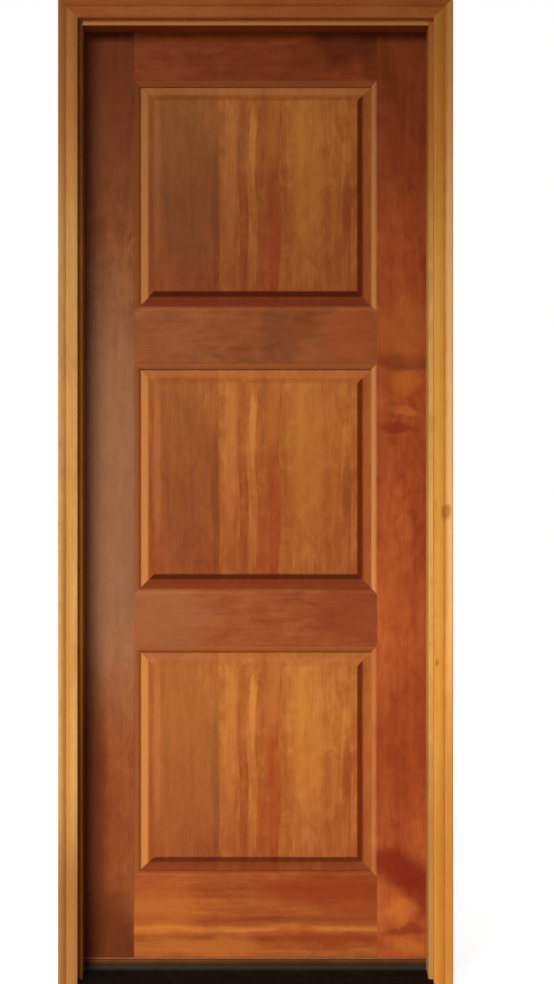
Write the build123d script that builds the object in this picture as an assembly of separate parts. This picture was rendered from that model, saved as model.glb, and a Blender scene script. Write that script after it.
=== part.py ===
"""An eight-foot exterior door with three raised panels, hung in its rebated frame.

Millimetres. X runs to the right as seen from outside, Y runs into the building and Z is up. The origin is on the
underside of the sill, at mid-width, in the plane of the wall's outside face. The hinges are on the left and the
door swings inwards.
"""

import os
from math import cos, radians, sin, tan

from build123d import *

# Door leaf
DOOR_WIDTH = 914.4
DOOR_HEIGHT = 2438.4
DOOR_THICKNESS = 44.45
STILE_WIDTH = 152.4
TOP_RAIL_WIDTH = 148.2
MIDDLE_RAIL_WIDTH = 166.6
BOTTOM_RAIL_WIDTH = 225.4
LOCK_EDGE_BEVEL_DEG = 3.0

# Sticking: the ovolo worked on the inner edges of stiles and rails, with a square drop to its panel groove
STICKING_WIDTH = 14.5
STICKING_QUIRK = 1.0
STICKING_START_DEG = 8.0
STICKING_END_DEG = 56.0
GROOVE_WIDTH = 12.0
GROOVE_DEPTH = 13.0

# Raised panels: a tongue in the groove, a shallow bevel, a steep hip and a flat field
PANEL_THICKNESS = 41.3
TONGUE_LENGTH = 10.5
TONGUE_CLEARANCE = 0.15
BEVEL_WIDTH = 22.0
BEVEL_RISE = 6.9
HIP_WIDTH = 15.5

# Tenons on the rails' ends, in mortises in the stiles
TENON_LENGTH = 60.0
TENON_EDGE_DISTANCE = 34.0
TENON_SPACING = 40.0
TENON_END_GAP = 2.0
TENON_COUNTS = {"bottom_rail": 2, "lower_middle_rail": 1, "upper_middle_rail": 1, "top_rail": 1}

# Jambs and head
DOOR_GAP = 3.2
JAMB_DEPTH = 115.9
JAMB_THICKNESS = 19.05
STOP_PROJECTION = 13.5
SEAL_SPACE = 12.5
JAMB_EASING = 2.0
HOUSING_DEPTH = 6.0
KERF_WIDTH = 3.0
KERF_DEPTH = 9.0

# Brickmould: the casing nailed to the outer edge of the jambs
BRICKMOULD_WIDTH = 49.0
BRICKMOULD_THICKNESS = 28.5
BRICKMOULD_REVEAL = 11.5
BRICKMOULD_HEAD_REVEAL = 15.0
BRICKMOULD_INNER_EDGE = 20.0
BEAD_WIDTH = 27.0
BEAD_RISE = 3.0
BEAD_QUIRK = 2.0
ROUND_WIDTH = 16.5
ROUND_RISE = 1.6
BRICKMOULD_EASING = 3.0

# Sill: a core, a sloping metal tread and a cap under the door
DOOR_BOTTOM = 46.0
SILL_NOSE = 32.0
SILL_NOSE_HEIGHT = 5.0
CAP_LEAD = 7.5
TREAD_BACK_HEIGHT = 21.0
TREAD_THICKNESS = 2.5
TREAD_UPSTAND = 6.0
CAP_GAP = 4.5
CAP_EASING = 3.0

# Sweep under the door
SWEEP_PLATE = 1.5
SWEEP_MARGIN = 2.0
SWEEP_END_GAP = 1.5
SWEEP_FIN_WIDTH = 2.4
SWEEP_BARB_WIDTH = 2.0
SWEEP_BARB_HEIGHT = 7.0
SWEEP_BARB_SPACING = 24.0
SWEEP_CLEARANCE = 0.4

# Weatherstrip: a soft bulb on a leg that is pushed into the kerf
SEAL_CLEARANCE = 0.3

# Butt hinges
HINGE_COUNT = 4
HINGE_TOP_DISTANCE = 178.0
HINGE_BOTTOM_DISTANCE = 279.0
LEAF_HEIGHT = 101.6
LEAF_WIDTH = 50.8
LEAF_THICKNESS = 3.1
HINGE_BACKSET = 6.35
BARREL_DIAMETER = 13.5
PIN_DIAMETER = 7.9
PIN_CLEARANCE = 0.08
PIN_HEAD_HEIGHT = 4.0
PIN_HEAD_DIAMETER = 11.0
KNUCKLE_COUNT = 5
KNUCKLE_GAP = 0.3
BARREL_CLEARANCE = 0.6
MORTISE_CLEARANCE = 0.25

# One overrun serves every cut that has to pass a face
OVERRUN = 20.0

# Places that follow from the sizes above
DOOR_FACE = JAMB_DEPTH - DOOR_THICKNESS
DOOR_TOP = DOOR_BOTTOM + DOOR_HEIGHT
DOOR_HALF = DOOR_WIDTH / 2
STOP_BACK = DOOR_FACE - SEAL_SPACE
CAP_FRONT = DOOR_FACE - CAP_LEAD
REBATE_HALF = DOOR_HALF + DOOR_GAP
STOP_HALF = REBATE_HALF - STOP_PROJECTION
FRAME_HALF = REBATE_HALF + JAMB_THICKNESS
CASING_HALF = STOP_HALF + BRICKMOULD_REVEAL
CASING_OUTER_HALF = CASING_HALF + BRICKMOULD_WIDTH
HEAD_REBATE = DOOR_TOP + DOOR_GAP
HEAD_STOP = HEAD_REBATE - STOP_PROJECTION
HEAD_TOP = HEAD_REBATE + JAMB_THICKNESS
CASING_HEAD = HEAD_STOP + BRICKMOULD_HEAD_REVEAL
CASING_TOP = CASING_HEAD + BRICKMOULD_WIDTH
CAP_TOP = DOOR_BOTTOM - CAP_GAP
CAP_SEAT = TREAD_BACK_HEIGHT - TREAD_THICKNESS

STILE_FLAT = STILE_WIDTH - STICKING_WIDTH
ARRIS_HALF = DOOR_HALF - STILE_FLAT
SIGHT_HALF = DOOR_HALF - STILE_WIDTH
TONGUE_THICKNESS = GROOVE_WIDTH - 2 * TONGUE_CLEARANCE
PANEL_NAMES = ("bottom_panel", "middle_panel", "top_panel")
RAIL_WIDTHS = {
    "bottom_rail": BOTTOM_RAIL_WIDTH,
    "lower_middle_rail": MIDDLE_RAIL_WIDTH,
    "upper_middle_rail": MIDDLE_RAIL_WIDTH,
    "top_rail": TOP_RAIL_WIDTH,
}
PANEL_SIGHT_HEIGHT = (DOOR_HEIGHT - sum(RAIL_WIDTHS.values())) / len(PANEL_NAMES)

BARREL_RADIUS = BARREL_DIAMETER / 2
PIN_X = -DOOR_HALF - DOOR_GAP / 2
PIN_Y = DOOR_FACE + HINGE_BACKSET + LEAF_WIDTH

# Section planes: local x is the first word, local y is Y, thickness or depth
ACROSS_RAIL = Plane(origin=(0, 0, 0), x_dir=(0, 0, 1), z_dir=(-1, 0, 0))
ACROSS_HEAD = Plane(origin=(0, 0, HEAD_TOP), x_dir=(0, 0, -1), z_dir=(1, 0, 0))
ACROSS_CASING_HEAD = Plane(origin=(0, 0, CASING_HEAD), x_dir=(0, 0, 1), z_dir=(-1, 0, 0))


def block(x, y, z):
    """A box between pairs of coordinates."""
    size = Box(x[1] - x[0], y[1] - y[0], z[1] - z[0])
    return Pos((x[0] + x[1]) / 2, (y[0] + y[1]) / 2, (z[0] + z[1]) / 2) * size


def panel_of(corners):
    """A flat face inside straight edges."""
    return make_face(Polyline(*corners, close=True))


def rectangle(x, y):
    """A flat rectangle between pairs of coordinates."""
    return panel_of([(x[0], y[0]), (x[1], y[0]), (x[1], y[1]), (x[0], y[1])])


def along_x(face, half_length):
    """A section drawn in Y and Z, run the same way to left and right."""
    return extrude(Plane.YZ * face, half_length, both=True)


def along_z(face, bottom, top):
    """A section drawn in X and Y, run upwards."""
    return Pos(0, 0, bottom) * extrude(face, top - bottom)


def right_of(shape):
    """The right-hand twin of a left-hand piece."""
    return mirror(shape, about=Plane.YZ)


def sticking_strip():
    """Section of the moulded edge from its arris, at x 0, to the sight line, with the panel groove cut in."""
    start = radians(STICKING_START_DEG)
    radius = STICKING_WIDTH / (sin(radians(STICKING_END_DEG)) - sin(start))
    centre_x = -radius * sin(start)
    centre_y = STICKING_QUIRK + radius * cos(start)
    turn = STICKING_END_DEG - STICKING_START_DEG
    front = CenterArc((centre_x, centre_y), radius, STICKING_START_DEG - 90, turn)
    back = CenterArc((centre_x, DOOR_THICKNESS - centre_y), radius, 90 - STICKING_END_DEG, turn)
    edges = [front, Line(front @ 1, back @ 0), back, Line(back @ 1, front @ 0)]
    groove = rectangle(
        (STICKING_WIDTH - GROOVE_DEPTH, STICKING_WIDTH + OVERRUN),
        ((DOOR_THICKNESS - GROOVE_WIDTH) / 2, (DOOR_THICKNESS + GROOVE_WIDTH) / 2),
    )
    return make_face(edges) - groove


def stile_blank(bevel):
    """The left stile before its joints are cut, with its outer edge bevelled by an angle in degrees."""
    relief = DOOR_THICKNESS * tan(radians(bevel))
    flat = panel_of(
        [
            (-DOOR_HALF + relief, 0),
            (-ARRIS_HALF, 0),
            (-ARRIS_HALF, DOOR_THICKNESS),
            (-DOOR_HALF, DOOR_THICKNESS),
        ]
    )
    section = flat + Pos(-ARRIS_HALF, 0) * sticking_strip()
    return Pos(0, DOOR_FACE, 0) * along_z(section, DOOR_BOTTOM, DOOR_TOP)


def rail_levels():
    """Bottom and top of each rail, from the floor of the door upwards."""
    levels = {}
    bottom = DOOR_BOTTOM
    for name, width in RAIL_WIDTHS.items():
        levels[name] = (bottom, bottom + width)
        bottom += width + PANEL_SIGHT_HEIGHT
    return levels


def rail_blank(name, level):
    """A rail as long as the clear width between the stiles' flat faces, moulded where a panel meets it."""
    bottom, top = level
    moulded_below = name != "bottom_rail"
    moulded_above = name != "top_rail"
    flat_bottom = bottom + STICKING_WIDTH if moulded_below else bottom
    flat_top = top - STICKING_WIDTH if moulded_above else top
    section = rectangle((flat_bottom, flat_top), (0, DOOR_THICKNESS))
    strip = sticking_strip()
    if moulded_above:
        section += Pos(flat_top, 0) * strip
    if moulded_below:
        section += Pos(flat_bottom, 0) * mirror(strip, about=Plane.YZ)
    return Pos(0, DOOR_FACE, 0) * extrude(ACROSS_RAIL * section, ARRIS_HALF, both=True)


def tenon_heights(name, level):
    """Bottom and top of each tenon on a rail's end; a wide rail has more than one."""
    low = level[0] + TENON_EDGE_DISTANCE
    high = level[1] - TENON_EDGE_DISTANCE
    count = TENON_COUNTS[name]
    height = (high - low - (count - 1) * TENON_SPACING) / count
    bottoms = [low + step * (height + TENON_SPACING) for step in range(count)]
    return [(bottom, bottom + height) for bottom in bottoms]


def left_tenons(name, level, extra):
    """The tenons at a rail's left end, or with extra length the mortises for them."""
    joint = -SIGHT_HALF - GROOVE_DEPTH
    middle = DOOR_FACE + DOOR_THICKNESS / 2
    thickness = (middle - GROOVE_WIDTH / 2, middle + GROOVE_WIDTH / 2)
    reach = (joint - TENON_LENGTH - extra, -SIGHT_HALF)
    return [block(reach, thickness, heights) for heights in tenon_heights(name, level)]


def panel_section(sight_half):
    """Section across a raised panel, centred, from the sight line's half size."""
    steps = [
        (sight_half + TONGUE_LENGTH, TONGUE_THICKNESS / 2),
        (sight_half, TONGUE_THICKNESS / 2),
        (sight_half - BEVEL_WIDTH, TONGUE_THICKNESS / 2 + BEVEL_RISE),
        (sight_half - BEVEL_WIDTH - HIP_WIDTH, PANEL_THICKNESS / 2),
    ]
    front = [(x, -y) for x, y in steps]
    left_front = [(-x, y) for x, y in reversed(front)]
    back = [(x, -y) for x, y in reversed(front + left_front)]
    return panel_of(front + left_front + back)


def raised_panel(bottom):
    """A panel whose four bevels meet at mitres: the two sections' common solid."""
    half_height = PANEL_SIGHT_HEIGHT / 2
    reach = half_height + TONGUE_LENGTH
    across = along_z(panel_section(SIGHT_HALF), -reach, reach)
    upright = extrude(ACROSS_RAIL * panel_section(half_height), SIGHT_HALF + TONGUE_LENGTH, both=True)
    return Pos(0, DOOR_FACE + DOOR_THICKNESS / 2, bottom + half_height) * (across & upright)


def sweep_section():
    """Section of the sweep: a plate under the door, barbs up into it and fins down to the sill's cap."""
    plate_bottom = DOOR_BOTTOM - SWEEP_PLATE
    fin_bottom = CAP_TOP + SWEEP_CLEARANCE
    middle = DOOR_FACE + DOOR_THICKNESS / 2
    half = DOOR_THICKNESS / 2 - SWEEP_MARGIN
    section = rectangle((middle - half, middle + half), (plate_bottom, DOOR_BOTTOM))
    for offset in (-SWEEP_BARB_SPACING / 2, SWEEP_BARB_SPACING / 2):
        near = middle + offset - SWEEP_BARB_WIDTH / 2
        section += rectangle((near, near + SWEEP_BARB_WIDTH), (plate_bottom, DOOR_BOTTOM + SWEEP_BARB_HEIGHT))
    for offset in (-half, -SWEEP_FIN_WIDTH / 2, half - SWEEP_FIN_WIDTH):
        near = middle + offset
        section += rectangle((near, near + SWEEP_FIN_WIDTH), (fin_bottom, DOOR_BOTTOM))
    return section


def sweep_kerfs():
    """The two slots along the underside of the door that take the sweep's barbs."""
    slots = []
    middle = DOOR_FACE + DOOR_THICKNESS / 2
    half = SWEEP_BARB_WIDTH / 2 + SWEEP_CLEARANCE
    for offset in (-SWEEP_BARB_SPACING / 2, SWEEP_BARB_SPACING / 2):
        slots.append(
            block(
                (-DOOR_HALF - OVERRUN, DOOR_HALF + OVERRUN),
                (middle + offset - half, middle + offset + half),
                (DOOR_BOTTOM - OVERRUN, DOOR_BOTTOM + SWEEP_BARB_HEIGHT + SWEEP_CLEARANCE),
            )
        )
    return slots


def jamb_section():
    """Section of a rebated jamb: x from its back face to the stop's face, y from the outside edge inwards."""
    stop = JAMB_THICKNESS + STOP_PROJECTION
    section = panel_of(
        [
            (0, 0),
            (stop, 0),
            (stop, STOP_BACK),
            (JAMB_THICKNESS, STOP_BACK),
            (JAMB_THICKNESS, JAMB_DEPTH),
            (0, JAMB_DEPTH),
        ]
    )
    front_arris = section.vertices().sort_by(Axis.X)[-2:].sort_by(Axis.Y)[0]
    return fillet(front_arris, JAMB_EASING)


def kerf_section():
    """Section of the slot for the weatherstrip, in the corner of the rebate."""
    return rectangle((JAMB_THICKNESS - KERF_DEPTH, JAMB_THICKNESS), (STOP_BACK, STOP_BACK + KERF_WIDTH))


def seal_section():
    """Section of the weatherstrip, in the jamb's own coordinates."""
    bulb_radius = min(SEAL_SPACE, STOP_PROJECTION) / 2 - SEAL_CLEARANCE
    bulb = Pos(JAMB_THICKNESS + bulb_radius + SEAL_CLEARANCE, STOP_BACK + SEAL_SPACE / 2) * Circle(bulb_radius)
    leg = rectangle(
        (JAMB_THICKNESS - KERF_DEPTH + SEAL_CLEARANCE, JAMB_THICKNESS + bulb_radius),
        (STOP_BACK + SEAL_CLEARANCE, STOP_BACK + KERF_WIDTH - SEAL_CLEARANCE),
    )
    return bulb + leg


def left_jamb_blank(section):
    """A section in the jamb's coordinates, run up the left side of the frame."""
    return along_z(Pos(-FRAME_HALF, 0) * section, 0, HEAD_TOP)


def head_board():
    """The space of the head's board, whose ends are housed in the side jambs."""
    half = REBATE_HALF + HOUSING_DEPTH
    return block((-half, half), (0, JAMB_DEPTH), (HEAD_REBATE, HEAD_TOP))


def head_jamb():
    """The head: a rebated board whose stop is cut off between the side stops."""
    half = REBATE_HALF + HOUSING_DEPTH
    head = extrude(ACROSS_HEAD * (jamb_section() - kerf_section()), half, both=True)
    beyond = block((STOP_HALF, half + OVERRUN), (-OVERRUN, STOP_BACK), (HEAD_STOP - OVERRUN, HEAD_REBATE))
    return head - beyond - right_of(beyond)


def brickmould_section():
    """Section of the casing: x outwards from its inner edge, y is minus its thickness, towards the viewer."""
    bead_end = BRICKMOULD_INNER_EDGE - BEAD_QUIRK
    round_start = BEAD_WIDTH + BEAD_QUIRK
    round_end = round_start + ROUND_WIDTH
    bead = SagittaArc((0, -BRICKMOULD_INNER_EDGE), (BEAD_WIDTH, -BRICKMOULD_INNER_EDGE), -BEAD_RISE)
    rounded = SagittaArc((round_start, -bead_end), (round_end, -BRICKMOULD_THICKNESS), -ROUND_RISE)
    outline = [
        bead,
        Line(bead @ 1, (BEAD_WIDTH, -bead_end)),
        Line((BEAD_WIDTH, -bead_end), rounded @ 0),
        rounded,
        Polyline(rounded @ 1, (BRICKMOULD_WIDTH, -BRICKMOULD_THICKNESS), (BRICKMOULD_WIDTH, 0), (0, 0), bead @ 0),
    ]
    section = make_face(outline)
    outer_arris = section.vertices().sort_by(Axis.X)[-2:].sort_by(Axis.Y)[0]
    return fillet(outer_arris, BRICKMOULD_EASING)


def brickmoulds():
    """The left, right and head casings, mitred where they meet."""
    section = brickmould_section()
    leg = along_z(mirror(Pos(CASING_HALF, 0) * section, about=Plane.YZ), 0, CASING_TOP)
    head = extrude(ACROSS_CASING_HEAD * section, CASING_OUTER_HALF, both=True)
    mitre = [
        (-CASING_HALF + OVERRUN, CASING_HEAD - OVERRUN),
        (-CASING_OUTER_HALF - OVERRUN, CASING_TOP + OVERRUN),
        (-CASING_HALF + OVERRUN, CASING_TOP + OVERRUN),
    ]
    above = extrude(Plane.XZ * panel_of(mitre), BRICKMOULD_THICKNESS + OVERRUN, both=True)
    beside = block(
        (-CASING_OUTER_HALF - OVERRUN, -CASING_HALF),
        (-BRICKMOULD_THICKNESS - OVERRUN, OVERRUN),
        (CASING_HEAD - OVERRUN, CASING_TOP + OVERRUN),
    )
    outside = beside - above
    left = leg - above
    return left, right_of(left), head - outside - right_of(outside)


def sill_tread_section():
    """Section of the metal tread: a nose, a slope that sheds water and an upstand against the cap."""
    front = -SILL_NOSE
    inner = front + TREAD_THICKNESS
    return panel_of(
        [
            (front, 0),
            (front, SILL_NOSE_HEIGHT),
            (CAP_FRONT - TREAD_THICKNESS, TREAD_BACK_HEIGHT),
            (CAP_FRONT - TREAD_THICKNESS, TREAD_BACK_HEIGHT + TREAD_UPSTAND),
            (CAP_FRONT, TREAD_BACK_HEIGHT + TREAD_UPSTAND),
            (CAP_FRONT, CAP_SEAT),
            (inner, SILL_NOSE_HEIGHT - TREAD_THICKNESS),
            (inner, 0),
        ]
    )


def sill_core_section():
    """Section of the core under the tread and the cap."""
    inner = -SILL_NOSE + TREAD_THICKNESS
    return panel_of(
        [
            (inner, 0),
            (inner, SILL_NOSE_HEIGHT - TREAD_THICKNESS),
            (CAP_FRONT, CAP_SEAT),
            (JAMB_DEPTH, CAP_SEAT),
            (JAMB_DEPTH, 0),
        ]
    )


def sill_cap_section():
    """Section of the cap that the sweep closes on, with its upper arrises eased."""
    section = rectangle((CAP_FRONT, JAMB_DEPTH), (CAP_SEAT, CAP_TOP))
    return fillet(section.vertices().sort_by(Axis.Y)[-2:], CAP_EASING)


def hinge_levels():
    """The foot of each hinge's leaves, evenly spaced between the top and bottom ones."""
    lowest = DOOR_BOTTOM + HINGE_BOTTOM_DISTANCE
    highest = DOOR_TOP - HINGE_TOP_DISTANCE - LEAF_HEIGHT
    spacing = (highest - lowest) / (HINGE_COUNT - 1)
    return [lowest + spacing * step for step in range(HINGE_COUNT)]


def leaf_plate(bottom, near, grown):
    """A hinge plate beside the pin's plane, from its far edge to the depth near, grown for a mortise."""
    return block(
        (-REBATE_HALF - LEAF_THICKNESS, -REBATE_HALF),
        (PIN_Y - LEAF_WIDTH - grown, near),
        (bottom - grown, bottom + LEAF_HEIGHT + grown),
    )


def to_door_side(shape):
    """Turns a hinge part of the jamb's side over to the door's side of the pin."""
    return mirror(shape, about=Plane.YZ.offset(PIN_X))


def hinge_leaf(bottom, knuckles):
    """A leaf on the jamb's side: a plate and its share of the barrel's knuckles, bored for the pin."""
    pitch = LEAF_HEIGHT / KNUCKLE_COUNT
    leaf = leaf_plate(bottom, PIN_Y - BARREL_RADIUS - BARREL_CLEARANCE, 0)
    for knuckle in knuckles:
        low = bottom + pitch * knuckle + KNUCKLE_GAP / 2
        high = bottom + pitch * (knuckle + 1) - KNUCKLE_GAP / 2
        tab = block(
            (-REBATE_HALF - LEAF_THICKNESS, -REBATE_HALF),
            (PIN_Y - BARREL_RADIUS - BARREL_CLEARANCE, PIN_Y),
            (low, high),
        )
        barrel = Pos(PIN_X, PIN_Y, (low + high) / 2) * Cylinder(BARREL_RADIUS, high - low)
        leaf += tab + barrel
    bore = Cylinder(PIN_DIAMETER / 2 + PIN_CLEARANCE, LEAF_HEIGHT + OVERRUN)
    return leaf - Pos(PIN_X, PIN_Y, bottom + LEAF_HEIGHT / 2) * bore


def hinge_pin(bottom):
    """The pin, with a button head on top of the barrel."""
    rod = Pos(0, 0, LEAF_HEIGHT / 2) * Cylinder(PIN_DIAMETER / 2, LEAF_HEIGHT)
    head = Pos(0, 0, LEAF_HEIGHT + PIN_HEAD_HEIGHT / 2) * Cylinder(PIN_HEAD_DIAMETER / 2, PIN_HEAD_HEIGHT)
    return Pos(PIN_X, PIN_Y, bottom) * (rod + head)


def group(shapes):
    """Separate solids that share one node."""
    return Compound([shape.solid() for shape in shapes])


def cut_all(shape, tools):
    """A shape with each tool taken away."""
    for tool in tools:
        shape -= tool
    return shape


def door_pieces(levels):
    """The leaf's stiles, rails, panels and sweep."""
    hinge_blank = stile_blank(0)
    lock_blank = right_of(stile_blank(LOCK_EDGE_BEVEL_DEG))
    kerfs = sweep_kerfs()
    sockets = []
    for name, level in levels.items():
        sockets += left_tenons(name, level, TENON_END_GAP)
    leaf_seats = [to_door_side(leaf_plate(bottom, PIN_Y, MORTISE_CLEARANCE)) for bottom in hinge_levels()]
    pieces = {
        "hinge_stile": cut_all(hinge_blank, sockets + kerfs + leaf_seats),
        "lock_stile": cut_all(lock_blank, [right_of(socket) for socket in sockets] + kerfs),
        "door_sweep": along_x(sweep_section(), DOOR_HALF - LEAF_THICKNESS - SWEEP_END_GAP),
    }
    for name, level in levels.items():
        rail = rail_blank(name, level) - hinge_blank - lock_blank
        for tenon in left_tenons(name, level, 0):
            rail += tenon + right_of(tenon)
        pieces[name] = cut_all(rail, kerfs) if name == "bottom_rail" else rail
    for name, (rail_bottom, rail_top) in zip(PANEL_NAMES, levels.values()):
        pieces[name] = raised_panel(rail_top)
    return pieces


def frame_pieces():
    """The jambs, head, casing, sill and seals."""
    bare_jamb = left_jamb_blank(jamb_section())
    left_jamb = bare_jamb - left_jamb_blank(kerf_section()) - head_board()
    leaf_seats = [leaf_plate(bottom, PIN_Y, MORTISE_CLEARANCE) for bottom in hinge_levels()]
    left_casing, right_casing, head_casing = brickmoulds()
    left_seal = along_z(Pos(-FRAME_HALF, 0) * seal_section(), CAP_TOP + SEAL_CLEARANCE, HEAD_REBATE - SEAL_CLEARANCE)
    head_seal = extrude(ACROSS_HEAD * seal_section(), STOP_HALF - SEAL_CLEARANCE, both=True)
    beside_nose = block(
        (-REBATE_HALF - OVERRUN, -CASING_HALF),
        (-SILL_NOSE - OVERRUN, 0),
        (-OVERRUN, TREAD_BACK_HEIGHT),
    )
    sides = [bare_jamb, right_of(bare_jamb), beside_nose, right_of(beside_nose)]
    return {
        "hinge_jamb": cut_all(left_jamb, leaf_seats),
        "strike_jamb": right_of(left_jamb),
        "head_jamb": head_jamb(),
        "left_brickmould": left_casing,
        "right_brickmould": right_casing,
        "head_brickmould": head_casing,
        "sill_core": cut_all(along_x(sill_core_section(), REBATE_HALF), sides),
        "sill_tread": cut_all(along_x(sill_tread_section(), REBATE_HALF), sides),
        "sill_cap": cut_all(along_x(sill_cap_section(), REBATE_HALF), sides),
        "hinge_side_weatherstrip": left_seal,
        "strike_side_weatherstrip": right_of(left_seal),
        "head_weatherstrip": head_seal,
    }


def hinge_pieces():
    """The hinges' leaves on the frame, their leaves on the door and their pins, each a group from the bottom up."""
    frame_knuckles = range(0, KNUCKLE_COUNT, 2)
    door_knuckles = range(1, KNUCKLE_COUNT, 2)
    levels = hinge_levels()
    return {
        "frame_hinge_leaves": group(hinge_leaf(bottom, frame_knuckles) for bottom in levels),
        "door_hinge_leaves": group(to_door_side(hinge_leaf(bottom, door_knuckles)) for bottom in levels),
        "hinge_pins": group(hinge_pin(bottom) for bottom in levels),
    }


def main():
    os.makedirs("parts", exist_ok=True)
    pieces = door_pieces(rail_levels()) | frame_pieces() | hinge_pieces()
    for name, shape in pieces.items():
        export_step(shape, f"parts/{name}.step")


main()
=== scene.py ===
"""Looks for the panelled door in its frame: stained wood, a dark sill, hinge screws and studio light."""

from collections import namedtuple
from math import cos, pi, radians, sin

import bmesh
import bpy
from mathutils import Matrix, Vector


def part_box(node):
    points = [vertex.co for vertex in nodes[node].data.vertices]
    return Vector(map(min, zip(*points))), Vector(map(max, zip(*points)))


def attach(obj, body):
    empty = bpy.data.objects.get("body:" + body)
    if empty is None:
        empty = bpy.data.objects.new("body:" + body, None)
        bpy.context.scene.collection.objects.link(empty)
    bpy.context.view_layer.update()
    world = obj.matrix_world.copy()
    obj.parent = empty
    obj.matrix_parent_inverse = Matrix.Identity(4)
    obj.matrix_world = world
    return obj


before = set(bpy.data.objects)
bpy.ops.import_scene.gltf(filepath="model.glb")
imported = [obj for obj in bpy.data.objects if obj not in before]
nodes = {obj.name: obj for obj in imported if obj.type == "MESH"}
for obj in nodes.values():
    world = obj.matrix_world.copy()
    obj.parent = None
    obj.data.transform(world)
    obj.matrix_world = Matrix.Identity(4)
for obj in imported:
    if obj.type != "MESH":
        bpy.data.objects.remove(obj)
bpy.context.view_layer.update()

# Picture and camera: pixels of the picture, millimetres of the sensor, and metres
IMAGE_HEIGHT = 984
OBJECT_LEFT_OF_CENTRE = 21.4
METRES_PER_PIXEL = 0.002628
SENSOR = 36.0
CAMERA_DISTANCE = 4.2
CAMERA_HEIGHT = 1.269

# The door's front face, half its thickness and its middle, in depth
DOOR_FACE_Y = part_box("top_rail")[0].y
DOOR_HALF_THICKNESS = (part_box("top_rail")[1].y - DOOR_FACE_Y) / 2
DOOR_MIDDLE_Y = DOOR_FACE_Y + DOOR_HALF_THICKNESS

# The colour sockets of a mix node
MIX_FIRST = 6
MIX_SECOND = 7
MIX_RESULT = 2


def linear(red, green, blue):
    """A colour from 0 to 255 on the sRGB curve, in the linear values that shaders use."""
    def channel(value):
        value /= 255
        return value / 12.92 if value <= 0.04045 else ((value + 0.055) / 1.055) ** 2.4
    return (channel(red), channel(green), channel(blue), 1.0)


def grey(value):
    """A grey in linear values."""
    return (value, value, value, 1.0)


def paler(colour, factor):
    """A colour made paler by a factor, as far as white."""
    return tuple(min(1.0, value * factor) for value in colour[:3]) + (1.0,)


def middle(node):
    """The middle of a CAD node's box."""
    low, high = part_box(node)
    return tuple((low + high) / 2)


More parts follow.
